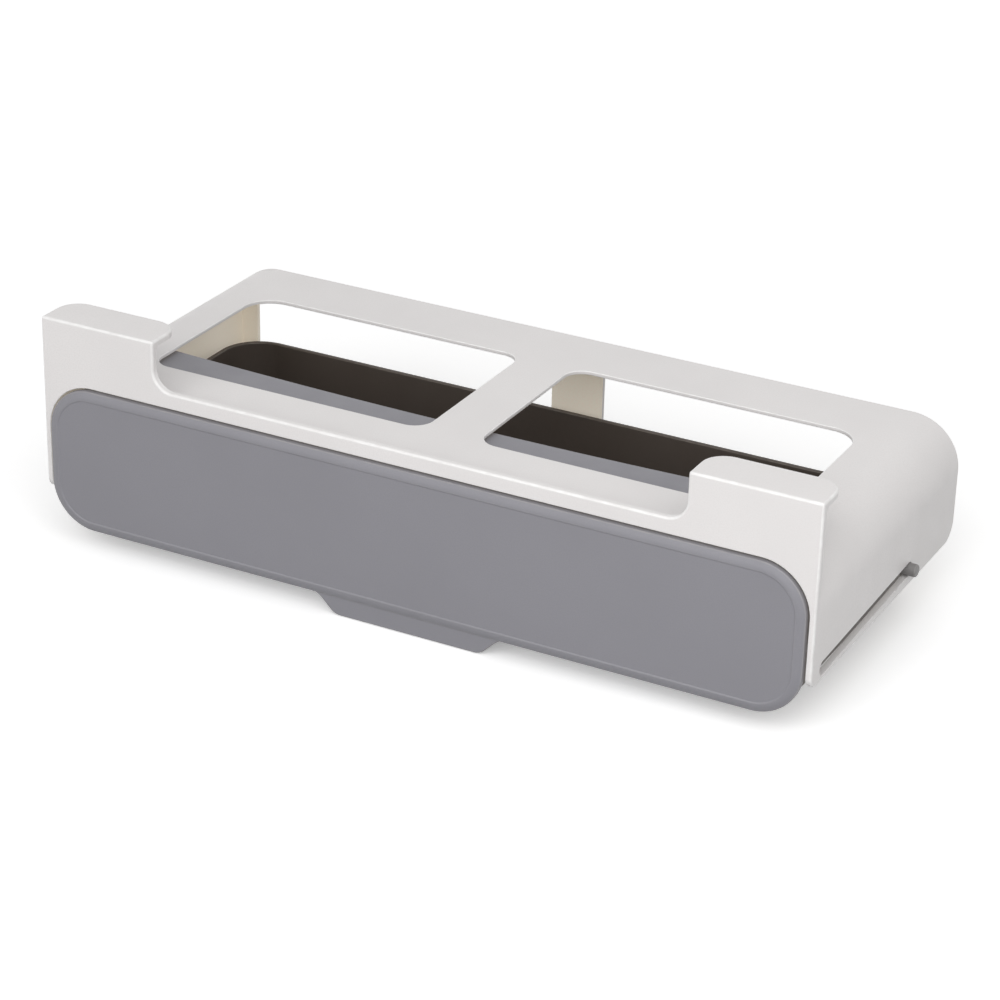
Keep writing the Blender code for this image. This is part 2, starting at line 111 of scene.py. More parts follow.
def newPiece(name, bm):
    bmesh.ops.recalc_face_normals(bm, faces=bm.faces)
    mesh = bpy.data.meshes.new(name)
    bm.to_mesh(mesh)
    bm.free()
    piece = bpy.data.objects.new(name, mesh)
    bpy.context.scene.collection.objects.link(piece)
    return piece


def slab(name, outline, plane, start, end):
    bm = bmesh.new()
    face = bm.faces.new([bm.verts.new(place(plane, p, start)) for p in outline])
    grown = bmesh.ops.extrude_face_region(bm, geom=[face])["geom"]
    moved = [v for v in grown if isinstance(v, bmesh.types.BMVert)]
    bmesh.ops.translate(bm, verts=moved, vec=place(plane, (0, 0), end - start))
    return newPiece(name, bm)


def skin(name, rings):
    # rings with the same number of points, joined one to the next, closed at both ends
    bm = bmesh.new()
    loops = [[bm.verts.new(p) for p in ring] for ring in rings]
    for low, high in zip(loops, loops[1:]):
        for k in range(len(low)):
            n = (k + 1) % len(low)
            bm.faces.new((low[k], low[n], high[n], high[k]))
    bm.faces.new(loops[0])
    bm.faces.new(loops[-1])
    return newPiece(name, bm)


def freeze(piece):
    # what the modifiers make of the mesh becomes the mesh
    bpy.context.view_layer.update()
    done = piece.evaluated_get(bpy.context.evaluated_depsgraph_get())
    mesh = bpy.data.meshes.new_from_object(done)
    piece.modifiers.clear()
    piece.data = mesh


def work(piece, tool, how):
    step = piece.modifiers.new(how, "BOOLEAN")
    step.operation = how
    step.solver = "EXACT"
    step.object = tool
    freeze(piece)
    bpy.data.objects.remove(tool, do_unlink=True)


def add(piece, tool):
    work(piece, tool, "UNION")


def cut(piece, tool):
    work(piece, tool, "DIFFERENCE")


def onPlane(axis, value):
    index = "xyz".index(axis)
    return lambda a, b: abs(a[index] - value) < hair and abs(b[index] - value) < hair


def softenEdges(piece, rules, splitY=None, segments=3):
    # rules are (test on an edge's ends, width); the first that fits an edge counts.
    # splitY is a plane through every hole, so that no stray edge has to run out to one
    weld = hair / 4
    flat, sharp = math.radians(0.5), math.radians(40)
    bm = bmesh.new()
    bm.from_mesh(piece.data)
    bmesh.ops.remove_doubles(bm, verts=bm.verts, dist=weld)
    bmesh.ops.dissolve_degenerate(bm, dist=weld, edges=bm.edges)
    bmesh.ops.dissolve_limit(bm, angle_limit=flat, verts=bm.verts, edges=bm.edges)
    if splitY is not None:
        bmesh.ops.bisect_plane(bm, geom=bm.verts[:] + bm.edges[:] + bm.faces[:], dist=weld,
                               plane_co=(0, splitY, 0), plane_no=(0, 1, 0))
        across = onPlane("y", splitY)
        stray = [e for e in bm.edges if len(e.link_faces) == 2
                 and e.calc_face_angle(1) < flat
                 and not across(e.verts[0].co, e.verts[1].co)]
        bmesh.ops.dissolve_edges(bm, edges=stray, use_verts=True)
    bmesh.ops.recalc_face_normals(bm, faces=bm.faces)
    widest = max(width for test, width in rules)
    layer = bm.edges.layers.float.new("bevel_weight_edge")
    for edge in bm.edges:
        if len(edge.link_faces) != 2 or edge.calc_face_angle(0) < sharp:
            continue
        a, b = (v.co for v in edge.verts)
        for test, width in rules:
            if test(a, b):
                edge[layer] = width / widest
                break
    bm.to_mesh(piece.data)
    bm.free()
    soft = piece.modifiers.new("softEdges", "BEVEL")
    soft.limit_method = "WEIGHT"
    soft.width = widest
    soft.segments = segments
    soft.use_clamp_overlap = False
    freeze(piece)


def markWearAndHighlight(piece, start=10, full=22, narrow=0.7 * mm):
    # the narrow facets of outer edges take a lighter tone, part wear and part painted highlight,
    # from 0 where they turn by start degrees to 1 where they turn by full
    bm = bmesh.new()
    bm.from_mesh(piece.data)
    turns = {}
    for v in bm.verts:
        turn = max((math.degrees(e.calc_face_angle_signed(0)) for e in v.link_edges
                    if len(e.link_faces) == 2), default=0)
        turns[v.index] = min(1, max(0, (turn - start) / (full - start)))
    values = []
    for face in bm.faces:
        slim = face.calc_area() / max(e.calc_length() for e in face.edges) < narrow
        for corner in face.loops:
            values.append(turns[corner.vert.index] if slim else 0)
    bm.free()
    wear = piece.data.attributes.new("edgeWearAndHighlight", "FLOAT", "CORNER")
    wear.data.foreach_set("value", values)


def smoothOut(piece, angle=32):
    piece.data.shade_smooth()
    piece.data.set_sharp_from_angle(angle=math.radians(angle))
    even = piece.modifiers.new("evenNormals", "WEIGHTED_NORMAL")
    even.keep_sharp = True
    even.weight = 60


def paint(r, g, b):
    # screen colour, 0 to 255, to the renderer's own scale
    def straight(v):
        v = v / 255
        return v / 12.92 if v <= 0.04045 else ((v + 0.055) / 1.055) ** 2.4
    return (straight(r), straight(g), straight(b), 1)


def remap(tree, source, low, high, toLow, toHigh):
    node = tree.nodes.new("ShaderNodeMapRange")
    node.inputs["From Min"].default_value = low
    node.inputs["From Max"].default_value = high
    node.inputs["To Min"].default_value = toLow
    node.inputs["To Max"].default_value = toHigh
    tree.links.new(source, node.inputs["Value"])
    return node.outputs["Result"]


def calculate(tree, operation, *values):
    # each value is a number or the output of another node
    node = tree.nodes.new("ShaderNodeMath")
    node.operation = operation
    for socket, value in zip(node.inputs, values):
        if isinstance(value, float):
            socket.default_value = value
        else:
            tree.links.new(value, socket)
    return node.outputs["Value"]


def mouldedPlastic(name, colour, rubbedAndHighlitColour, rough, grain, grainDepth, paintedGlow=None):
    # satin moulded plastic: fine grain, a slow drift of tone and gloss, and edges a little lighter, part
    # rubbed and part painted highlight;
    # where a glow colour is given, it is painted light: a glow that stands for the light thin walls let in
    # from behind
    material = bpy.data.materials.new(name)
    material.use_nodes = True
    tree = material.node_tree
    nodes, links = tree.nodes, tree.links
    shader = nodes["Principled BSDF"]
    where = nodes.new("ShaderNodeTexCoord")

    def noise(size, detail):
        node = nodes.new("ShaderNodeTexNoise")
        node.inputs["Scale"].default_value = 1 / size
        node.inputs["Detail"].default_value = detail
        links.new(where.outputs["Object"], node.inputs["Vector"])
        return node.outputs["Fac"]

    def blend(share, first, second):
        node = nodes.new("ShaderNodeMix")
        node.data_type = "RGBA"
        links.new(share, node.inputs["Factor"])
        if isinstance(first, tuple):
            node.inputs["A"].default_value = first
        else:
            links.new(first, node.inputs["A"])
        node.inputs["B"].default_value = second
        return node.outputs["Result"]

    # edges take a lighter tone: part wear, part painted highlight
    edge = nodes.new("ShaderNodeAttribute")
    edge.attribute_name = "edgeWearAndHighlight"
    patchy = remap(tree, noise(4 * mm, 4), 0.35, 0.65, 0.35, 1)
    wornAndHighlit = calculate(tree, "MULTIPLY", edge.outputs["Fac"], patchy)

    darker = tuple(c * 0.93 for c in colour[:3]) + (1,)
    tone = blend(remap(tree, noise(60 * mm, 2), 0.35, 0.65, 0, 0.6), colour, darker)
    tone = blend(remap(tree, noise(grain * 1.7, 1), 0.45, 0.62, 0, 0.5), tone, darker)
    links.new(blend(wornAndHighlit, tone, rubbedAndHighlitColour), shader.inputs["Base Color"])

    # the lighter edges, worn and painted with highlight, shine a little more
    drift = remap(tree, noise(9 * mm, 3), 0.3, 0.7, rough - 0.05, rough + 0.06)
    links.new(calculate(tree, "MULTIPLY_ADD", wornAndHighlit, -0.08, drift), shader.inputs["Roughness"])

    bump = nodes.new("ShaderNodeBump")
    bump.inputs["Strength"].default_value = 0.6
    bump.inputs["Distance"].default_value = grainDepth
    links.new(noise(grain, 2), bump.inputs["Height"])
    links.new(bump.outputs["Normal"], shader.inputs["Normal"])
    # painted glow: the faces give off light, standing for light that comes through the thin walls
    if paintedGlow:
        shader.inputs["Emission Color"].default_value = paintedGlow + (1,)
        shader.inputs["Emission Strength"].default_value = 1
    return material


# each finish's second colour is its edges' lighter tone: part wear, part painted highlight
whitePlastic = mouldedPlastic("whitePlastic", paint(233, 230, 229), paint(241, 240, 239),
                              0.42, 0.35 * mm, 0.012 * mm)
# inside faces: the same white plastic, warmed by painted warm bounce light, with a painted glow for light
# through the walls
paintedWarmGlowInside = mouldedPlastic("paintedWarmGlowInside", paint(243, 235, 221), paint(245, 239, 229),
                             0.46, 0.35 * mm, 0.012 * mm, (0.165, 0.150, 0.125))
greyPlastic = mouldedPlastic("greyPlastic", paint(136, 135, 141), paint(146, 144, 146),
                             0.48, 0.30 * mm, 0.016 * mm)
# the tray: a dark grey, darkened and warmed further with painted shade of the drawer's inside
shadedTrayPlastic = mouldedPlastic("shadedTrayPlastic", paint(80, 72, 66), paint(100, 92, 85),
                             0.50, 0.30 * mm, 0.016 * mm)
pinPlastic = mouldedPlastic("pinPlastic", paint(128, 126, 125), paint(148, 145, 143),
                            0.45, 0.25 * mm, 0.010 * mm)
print("finishes made")


def finish(piece, material, body, node):
    # rounded edges are in place by now: the finish, the body it rides on and what it stands for
    markWearAndHighlight(piece)
    smoothOut(piece)
    piece.data.materials.clear()
    piece.data.materials.append(material)
    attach(piece, body)
    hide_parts(node)


low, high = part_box("frame")
rack = {
    "half": high.x,
    "front": low.y,
    "rear": high.y,
    "bottom": low.z,
    "hookTop": high.z,
    "plate": 1.6 * mm,
    "sideWall": 2.4 * mm,
    "frontWall": 2.6 * mm,
    "shoulder": 20.0 * mm,
    "lip": 4.7 * mm,  # front wall above the top face, between the ears
    "opening": 19.5 * mm,
    "hookWall": 2.6 * mm,
    "hookReach": 19.9 * mm,
    "hookCorner": 9.5 * mm,
    "earWidth": 50.6 * mm,
    "earRoot": 8.0 * mm,
    "hookFillet": 1.6 * mm,  # inside the hook, where it meets the ear
    "centreBar": 22.8 * mm,
    "windowWidth": 120.7 * mm,
    "windowDepth": 80.1 * mm,
    "windowSetback": 30.8 * mm,
    "windowCorner": 8.0 * mm,
    "windowOuterRear": 12.0 * mm,
    "legWidth": 22.6 * mm,
    "legWall": 2.2 * mm,
    "legCorner": 3.0 * mm,
    "returnWidth": 10.1 * mm,
    "returnWall": 2.0 * mm,
    "lowerRear": 8.0 * mm,
    "lowerFront": 4.5 * mm,
    "into": 0.3 * mm,  # how far joined solids enter each other
    "outerEdge": 1.0 * mm,
    "thinEdge": 0.4 * mm,
}
pinLow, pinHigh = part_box("pivot_pin_right")
slots = {
    "pinY": (pinLow.y + pinHigh.y) / 2,
    "pinZ": (pinLow.z + pinHigh.z) / 2,
    "travel": 82.8 * mm,
    "dip": math.radians(1.6),  # the slots fall toward the front
    "radius": 2.8 * mm,
}


def offCorner(x, y, outX, outY, radius):
    # what an outer corner loses to its radius; outX and outY are the signs of the way out
    centre = Vector((x - outX * radius, y - outY * radius))
    points = [Vector((x + outX * mm, y + outY * mm)), Vector((x + outX * mm, centre.y))]
    for cosine, sine in quarterTurn(cornerSteps):
        points.append(centre + Vector((outX * cosine, outY * sine)) * radius)
    points.append(Vector((centre.x, y + outY * mm)))
    return points


def slotPoint(s, reach, rise):
    # reach runs forward along the slot from the pin at rest, rise across it
    return (s["pinY"] - reach * math.cos(s["dip"]) - rise * math.sin(s["dip"]),
            s["pinZ"] - reach * math.sin(s["dip"]) + rise * math.cos(s["dip"]))


def makeFrontWall(r):
    # a full-width wall with the hooks' flange along its top, cut down to two ears and the opening
    half = r["half"]
    inner = half - r["sideWall"]
    earInner = half - r["earWidth"]
    wallBack = r["front"] + r["frontWall"]
    hookRear = r["front"] + r["hookReach"]
    hookLow = r["hookTop"] - r["hookWall"]
    section = roundCorners([
        (r["front"], r["bottom"], 0), (wallBack, r["bottom"], 0), (wallBack, hookLow, r["hookFillet"]),
        (hookRear, hookLow, 0), (hookRear, r["hookTop"], 0), (r["front"], r["hookTop"], 0)])
    piece = slab("frontWall", section, "yz", -half, half)
    notch = roundCorners([
        (-earInner, r["lip"], r["earRoot"]), (earInner, r["lip"], r["earRoot"]),
        (earInner, r["hookTop"] + mm, 0), (-earInner, r["hookTop"] + mm, 0)], 24)
    cut(piece, slab("notch", notch, "xz", r["front"] - mm, hookRear + mm))
    opening = roundCorners([
        (-inner, r["bottom"] - mm, 0), (inner, r["bottom"] - mm, 0),
        (inner, -r["plate"], r["opening"]), (-inner, -r["plate"], r["opening"])], 24)
    cut(piece, slab("opening", opening, "xz", r["front"] - mm, wallBack + mm))
    for x, out in ((-half, -1), (-earInner, 1), (earInner, -1), (half, 1)):
        corner = offCorner(x, hookRear, out, 1, r["hookCorner"])
        cut(piece, slab("hookCorner", corner, "xy", hookLow - mm, r["hookTop"] + mm))
    return piece


def makeFrame(r, s):
    half = r["half"]
    inner = half - r["sideWall"]
    innerRound = r["shoulder"] - r["sideWall"]
    outline = roundCorners([
        (-half, r["bottom"], 0), (-half, 0, r["shoulder"]), (half, 0, r["shoulder"]), (half, r["bottom"], 0),
        (inner, r["bottom"], 0), (inner, -r["plate"], innerRound),
        (-inner, -r["plate"], innerRound), (-inner, r["bottom"], 0)], 28)
    piece = slab("rackFrame", outline, "xz", r["front"] + r["frontWall"] - r["into"], r["rear"])

    # a return is a strip along the middle of the side wall's and the shoulder's thickness
    middle = r["shoulder"] - r["sideWall"] / 2
    centreX = half - r["shoulder"]
    centreZ = (r["sideWall"] - r["plate"]) / 2 - r["shoulder"]
    stripX = half - r["returnWidth"]
    top = math.acos((stripX - centreX) / middle)
    for side in (-1, 1):
        strip = [Vector((side * stripX, r["bottom"])), Vector((side * (centreX + middle), r["bottom"]))]
        for k in range(15):
            angle = top * k / 14
            strip.append(Vector((side * (centreX + middle * math.cos(angle)),
                                 centreZ + middle * math.sin(angle))))
        add(piece, slab("return", strip, "xz", r["rear"] - r["returnWall"], r["rear"]))
    across = half + mm
    rearCorner = offCorner(r["rear"], r["bottom"], 1, -1, r["lowerRear"])
    cut(piece, slab("rearCorner", rearCorner, "yz", -across, across))

    leg = roundCorners([(-r["legWidth"] / 2, r["bottom"], r["legCorner"]),
                        (r["legWidth"] / 2, r["bottom"], r["legCorner"]),
                        (r["legWidth"] / 2, -r["plate"] / 2, 0), (-r["legWidth"] / 2, -r["plate"] / 2, 0)])
    add(piece, slab("leg", leg, "xz", r["rear"] - r["legWall"], r["rear"]))

    add(piece, makeFrontWall(r))
    for side in (-1, 1):
        innerX = side * r["centreBar"] / 2
        outerX = side * (r["centreBar"] / 2 + r["windowWidth"])
        near = r["front"] + r["windowSetback"]
        far = near + r["windowDepth"]
        window = roundCorners([(innerX, near, r["windowCorner"]), (outerX, near, r["windowCorner"]),
                               (outerX, far, r["windowOuterRear"]), (innerX, far, r["windowCorner"])], 16)
        cut(piece, slab("window", window, "xy", -r["shoulder"] / 2, mm))
    frontCorner = offCorner(r["front"], r["bottom"], -1, -1, r["lowerFront"])
    cut(piece, slab("frontCorner", frontCorner, "yz", -across, across))

    corners = box2d(-s["radius"], s["travel"] + s["radius"], -s["radius"], s["radius"])
    endRound = s["radius"] * 0.999  # a little less, so that two corners don't meet in one point
    slot = roundCorners([slotPoint(s, *c) + (endRound,) for c in corners], 16)
    cut(piece, slab("slots", slot, "yz", -across, across))
    return piece


def atOpening(a, b):
    # the drawer's opening, on the front face
    inner = rack["half"] - rack["sideWall"] + hair
    return (onPlane("y", rack["front"])(a, b) and max(abs(a.x), abs(b.x)) < inner
            and max(a.z, b.z) < hair - rack["plate"])


def atSlotHeight(v):
    s = slots
    frontZ = s["pinZ"] - s["travel"] * math.sin(s["dip"])
    margin = 1.1 * s["radius"]
    return (s["pinY"] - s["travel"] - margin < v.y < s["pinY"] + margin
            and frontZ - margin < v.z < s["pinZ"] + margin)


def atSlot(a, b):
    # an edge on a side wall's face that lies round the slot
    if min(abs(a.x), abs(b.x)) < rack["half"] - rack["sideWall"] - hair or abs(a.x - b.x) > hair:
        return False
    return atSlotHeight(a) and atSlotHeight(b)


def onSideWall(a, b):
    # the lower and rear outlines of a side wall, on its outer or its inner face
    for x in (rack["half"], rack["half"] - rack["sideWall"]):
        if abs(abs(a.x) - x) < hair and abs(abs(b.x) - x) < hair and max(a.z, b.z) < -rack["shoulder"]:
            return True
    return False


def roundTheCorner(step):
    # one edge of the lower front corner's arc, on a side wall's outer face
    def test(a, b):
        if abs(abs(a.x) - rack["half"]) > hair or abs(abs(b.x) - rack["half"]) > hair:
            return False
        radius = rack["lowerFront"]
        middle = (a + b) / 2
        back = middle.y - rack["front"] - radius
        down = middle.z - rack["bottom"] - radius
        if back > 0 or down > 0:
            return False
        return int(math.atan2(-down, -back) / (math.pi / 2) * cornerSteps) == step
    return test


rackFrame = makeFrame(rack, slots)
tapering = []  # from the broad front edge to the slim lower one
for k in range(cornerSteps):
    share = (k + 1) / (cornerSteps + 1)
    share = (share + share * share * (3 - 2 * share)) / 2
    tapering.append((roundTheCorner(k), rack["outerEdge"] * (1 - share) + rack["thinEdge"] * share))
softenEdges(rackFrame, [
    (atSlot, 0),  # cut sharp
    (atOpening, rack["thinEdge"]),
    (onPlane("y", rack["front"]), rack["outerEdge"]),
    (onPlane("z", rack["hookTop"]), rack["outerEdge"]),
    (onPlane("z", 0), rack["thinEdge"]),
    (onPlane("z", -rack["plate"]), rack["thinEdge"]),
    (onPlane("y", rack["rear"]), rack["thinEdge"]),
] + tapering + [(onSideWall, rack["thinEdge"])],
    splitY=slots["pinY"] - slots["travel"] / 2, segments=4)
finish(rackFrame, whitePlastic, "frame", "frame")


def giveInsideWarmGlow(piece, material, r):
    # the faces that look into the frame take the painted warm light and glow, but not the slots' cut faces
    piece.data.materials.append(material)
    reach = r["half"] - r["shoulder"]
    for face in piece.data.polygons:
        c, n = face.center, face.normal
        if c.z > -r["plate"] / 4 or abs(n.z) > 0.9 and c.z < r["bottom"] + mm:
            continue
        middle = Vector((min(reach, max(-reach, c.x)), c.y, min(c.z, -r["shoulder"])))
        walls = n.dot((middle - c).normalized()) > 0.3 and abs(n.y) < 0.5
        rearStrips = c.y > r["rear"] - r["legWall"] - hair and n.y < -0.5
        frontBack = c.y < r["front"] + r["frontWall"] + hair and n.y > 0.5
        slotCut = abs(c.x) > r["half"] - r["sideWall"] and abs(n.x) < 0.8 and atSlotHeight(c)
        if (walls or rearStrips or frontBack) and not slotCut:
            face.material_index = 1


giveInsideWarmGlow(rackFrame, paintedWarmGlowInside, rack)
print("frame made")


low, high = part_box("drawer_front")
panel = {
    "half": high.x,
    "top": -2.4 * mm,
    "bottom": -61.5 * mm,
    "corner": 18.7 * mm,
    "rim": rack["front"] - 0.8 * mm,  # where the rim's flat side ends and the border starts
    "wall": 2.5 * mm,
    "rimRound": 0.5 * mm,
    "nose": 0.25 * mm,  # the rim's round starts this far behind the rim
    "backEdge": 0.3 * mm,
    "crest": 1.2 * mm,  # the border's inner edge, ahead of the rim
    "border": 3.5 * mm,  # outline to the crest
    "step": 0.7 * mm,  # crest to the sunk field
    "sunk": 0.3 * mm,
    "into": 0.5 * mm,
    "standIn": 0.2 * mm,  # of the pull, behind the rim
}
pull = {
    "half": 31.0 * mm,
    "flare": 8.0 * mm,
    "foot": low.z,
    "root": 8.0 * mm,
    "rootLap": 1.8 * mm,
    "tip": 6.0 * mm,
    "edge": 0.7 * mm,
}
hood = {
    "half": 154.2 * mm,
    "top": -2.6 * mm,
    "wall": 1.8 * mm,
    "cheekWall": 2.0 * mm,
    "cheekLow": -40.0 * mm,
    "corner": 17.0 * mm,
    "rear": rack["front"] + 46.1 * mm,  # the middle of its rear edge
    "bow": 6.2 * mm,  # how far the ends lie behind the middle
    "edge": 0.4 * mm,
}
ledge = {
    "half": 120.0 * mm,
    "depth": 15.0 * mm,
    "wall": 2.0 * mm,
    "corner": 3.0 * mm,
    "gap": 0.3 * mm,  # under the tray
}
snaps = {
    "middleY": rack["front"] + 24.0 * mm,
    "middleZ": -34.0 * mm,
    "length": 12.0 * mm,
    "height": 4.0 * mm,
    "gap": 0.3 * mm,
    "proud": 1.4 * mm,
}


def panelRing(p, inset, y):
    corners = [(p["half"] - inset, p["bottom"] + inset, p["corner"] - inset),
               (p["half"] - inset, p["top"] - inset, p["corner"] - inset)]
    return [Vector((a.x, y, a.y)) for a in roundCorners(mirrored(corners), 24)]


def bowY(h, x):
    return h["rear"] + h["bow"] * (x / h["half"]) ** 2


def snapOutline(s, gap):
    return box2d(s["middleY"] - s["length"] / 2 - gap, s["middleY"] + s["length"] / 2 + gap,
                 s["middleZ"] - s["height"] / 2 - gap, s["middleZ"] + s["height"] / 2 + gap)


def panelRings(p):
    back = p["rim"] + p["wall"]
    rings = [panelRing(p, p["backEdge"], back), panelRing(p, 0, back - p["backEdge"])]
    for cosine, sine in quarterTurn(4):  # the rim's outer edge
        rings.append(panelRing(p, p["rimRound"] * (1 - cosine),
                               p["rim"] - p["rimRound"] * sine + p["nose"]))
    start = p["rimRound"]
    rise = p["crest"] - p["rimRound"] + p["nose"]
    base = p["rim"] - p["rimRound"] + p["nose"]
    for k in range(1, 9):  # the border rises to its crest, steep at first
        share = k / 8
        rings.append(panelRing(p, start + (p["border"] - start) * share,
                               base - rise * math.sin(share * math.pi / 2) ** 0.9))
    for k in range(1, 7):  # and steps down to the field
        share = k / 6
        rings.append(panelRing(p, p["border"] + p["step"] * share,
                               p["rim"] - p["crest"] + p["sunk"] * (1 - math.cos(share * math.pi)) / 2))
    return rings


def makeDrawerFront(p, g, h, l):
    back = p["rim"] + p["wall"]
    piece = skin("drawerFront", panelRings(p))

    seam = p["bottom"] + p["standIn"]
    root = g["half"] + g["flare"]
    pullShape = roundCorners(mirrored([
        (g["half"], g["foot"], g["tip"]), (root, seam, g["root"]),
        (root + g["root"], seam, 0), (root + g["root"], seam + g["rootLap"], 0)]), 16)
    add(piece, slab("pull", pullShape, "xz", p["rim"] + p["standIn"], back - p["standIn"]))

    gap = h["half"] - h["cheekWall"]
    arch = roundCorners([
        (-h["half"], h["cheekLow"], 0), (-h["half"], h["top"], h["corner"]),
        (h["half"], h["top"], h["corner"]), (h["half"], h["cheekLow"], 0),
        (gap, h["cheekLow"], 0), (gap, h["top"] - h["wall"], h["corner"] - h["cheekWall"]),
        (-gap, h["top"] - h["wall"], h["corner"] - h["cheekWall"]), (-gap, h["cheekLow"], 0)], 24)
    hoodPiece = slab("hood", arch, "xz", back - p["into"], h["rear"] + 2 * h["bow"])
    reach = h["half"] + 5 * mm
    behind = [Vector((reach, 2 * reach)), Vector((-reach, 2 * reach))]
    for k in range(49):
        x = reach * (k / 24 - 1)
        behind.append(Vector((x, bowY(h, x))))
    cut(hoodPiece, slab("behind", behind, "xy", h["cheekLow"] - mm, mm))
    add(piece, hoodPiece)

    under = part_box("drawer_tray")[0].z - l["gap"]
    ledgeRear = back + l["depth"]
    add(piece, slab("ledge", roundCorners([
        (-l["half"], back - p["into"], 0), (l["half"], back - p["into"], 0),
        (l["half"], ledgeRear, l["corner"]), (-l["half"], ledgeRear, l["corner"])]),
        "xy", under - l["wall"], under))
    cut(piece, slab("snapSlots", snapOutline(snaps, snaps["gap"]), "yz", -rack["half"], rack["half"]))
    return piece


def pullEdge(a, b):
    faces = (panel["rim"] + panel["standIn"], panel["rim"] + panel["wall"] - panel["standIn"])
    return max(a.z, b.z) < panel["bottom"] and any(onPlane("y", y)(a, b) for y in faces)


def bowEdge(a, b):
    return all(abs(v.y - bowY(hood, v.x)) < 2 * hair for v in (a, b))


drawerFront = makeDrawerFront(panel, pull, hood, ledge)
softenEdges(drawerFront, [
    (pullEdge, pull["edge"]),
    (bowEdge, hood["edge"]),
    (onPlane("z", hood["cheekLow"]), hood["edge"]),
], splitY=snaps["middleY"])
finish(drawerFront, greyPlastic, "drawer", "drawer_front")
print("drawer front made")


low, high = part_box("drawer_tray")
tray = {
    "half": 151.9 * mm,
    "front": low.y,
    "rear": high.y,
    "rim": high.z,
    "bottom": low.z,
    "wall": 2.0 * mm,
    "rearCorner": 18.0 * mm,
    "frontCorner": 6.0 * mm,
    "floorRound": 2.6 * mm,
    "rimRound": 0.7 * mm,
}
boss = {
    "radius": 4.6 * mm,
    "bore": 2.8 * mm,
    "floor": 1.0 * mm,
    "end": high.x,
    "edge": 0.4 * mm,
}


def trayRing(t, inset, z):
    corners = [(t["half"] - inset, t["front"] + inset, t["frontCorner"] - inset),
               (t["half"] - inset, t["rear"] - inset, t["rearCorner"] - inset)]
    return [Vector((a.x, a.y, z)) for a in roundCorners(mirrored(corners), 24)]


def pinCircle(radius):
    # points round the pins' axis, as (y, z)
    turns = [2 * math.pi * k / roundSteps for k in range(roundSteps)]
    return [(slots["pinY"] + radius * math.cos(turn), slots["pinZ"] + radius * math.sin(turn))
            for turn in turns]


def disc(name, radius, start, end):
    return slab(name, pinCircle(radius), "yz", start, end)


def makeTray(t, b):
    rings = []
    inner = t["floorRound"] - t["wall"]
    for cosine, sine in quarterTurn(8):  # outside, floor to wall
        rings.append(trayRing(t, t["floorRound"] * (1 - sine),
                              t["bottom"] + t["floorRound"] * (1 - cosine)))
    for cosine, sine in quarterTurn(4):  # over the rim
        rings.append(trayRing(t, t["rimRound"] * (1 - cosine), t["rim"] - t["rimRound"] * (1 - sine)))
    for cosine, sine in quarterTurn(4):
        rings.append(trayRing(t, t["wall"] - t["rimRound"] * (1 - sine),
                              t["rim"] - t["rimRound"] * (1 - cosine)))
    for cosine, sine in quarterTurn(8):  # inside, wall to floor
        rings.append(trayRing(t, t["wall"] + inner * (1 - cosine),
                              t["bottom"] + t["wall"] + inner * (1 - sine)))
    piece = skin("drawerTray", rings)
    for side in (-1, 1):
        wallMiddle = side * (t["half"] - t["wall"] / 2)
        snapEnd = side * (t["half"] + snaps["proud"])
        add(piece, disc("boss", b["radius"], wallMiddle, side * b["end"]))
        cut(piece, disc("bore", b["bore"], side * (t["half"] + b["floor"]), side * (b["end"] + mm)))
        add(piece, slab("snap", snapOutline(snaps, 0), "yz", wallMiddle, snapEnd))
    return piece


drawerTray = makeTray(tray, boss)
softenEdges(drawerTray, [
    (onPlane("x", boss["end"]), boss["edge"]),
    (onPlane("x", -boss["end"]), boss["edge"]),
    (onPlane("x", tray["half"] + snaps["proud"]), boss["edge"]),
    (onPlane("x", -tray["half"] - snaps["proud"]), boss["edge"]),
], splitY=slots["pinY"])
finish(drawerTray, shadedTrayPlastic, "drawer", "drawer_tray")
print("drawer tray made")


pin = {
    "tip": pinHigh.x,
    "foot": pinLow.x,
    "radius": 2.5 * mm,
    "tipRound": 0.8 * mm,
    "collar": 1.0 * mm,
    "collarRadius": 3.9 * mm,
    "collarOut": 158.3 * mm,
    "collarRound": 0.25 * mm,
    "footDimple": 0.02 * mm,  # where the foot's facets meet
}


def makePin(name, side, p):
    # the section is (x, radius), from the foot in the boss to the tip outside the side wall
    collarIn = p["collarOut"] - p["collar"]
    section = [(p["foot"], p["footDimple"]), (p["foot"], p["radius"] - p["collarRound"]),
               (p["foot"] + p["collarRound"], p["radius"]), (collarIn, p["radius"]),
               (collarIn, p["collarRadius"] - p["collarRound"]),
               (collarIn + p["collarRound"], p["collarRadius"]),
               (p["collarOut"] - p["collarRound"], p["collarRadius"]),
               (p["collarOut"], p["collarRadius"] - p["collarRound"]),
               (p["collarOut"], p["radius"])]
    for cosine, sine in quarterTurn(6):
        section.append((p["tip"] - p["tipRound"] * (1 - sine),
                        p["radius"] - p["tipRound"] * (1 - cosine)))
    return skin(name, [[Vector((side * x, y, z)) for y, z in pinCircle(radius)]
                       for x, radius in section])


pinLeft = makePin("pinLeft", -1, pin)
pinRight = makePin("pinRight", 1, pin)
finish(pinLeft, pinPlastic, "pivot_pins", "pivot_pin_left")
finish(pinRight, pinPlastic, "pivot_pins", "pivot_pin_right")
print("pins made")


studio = {
    "ambient": 0.51,
    "key": (-4, 28, 3.0, 41),  # azimuth, elevation, distance and watts
    "fill": (45, 35, 0.8, 2.3),
    "floorHalf": 6,
    "floorAlbedo": 0.98,
    "bounceAlbedo": 0.38,  # the floor throws less light back than it shows
    "floorLift": 0.31,  # seen directly, the floor gets this much more, so that it reads white
    "liftNear": 0.3,  # metres from the middle; from here the lift grows
    "liftFar": 1.2,
    "below": 0.2 * mm,
}


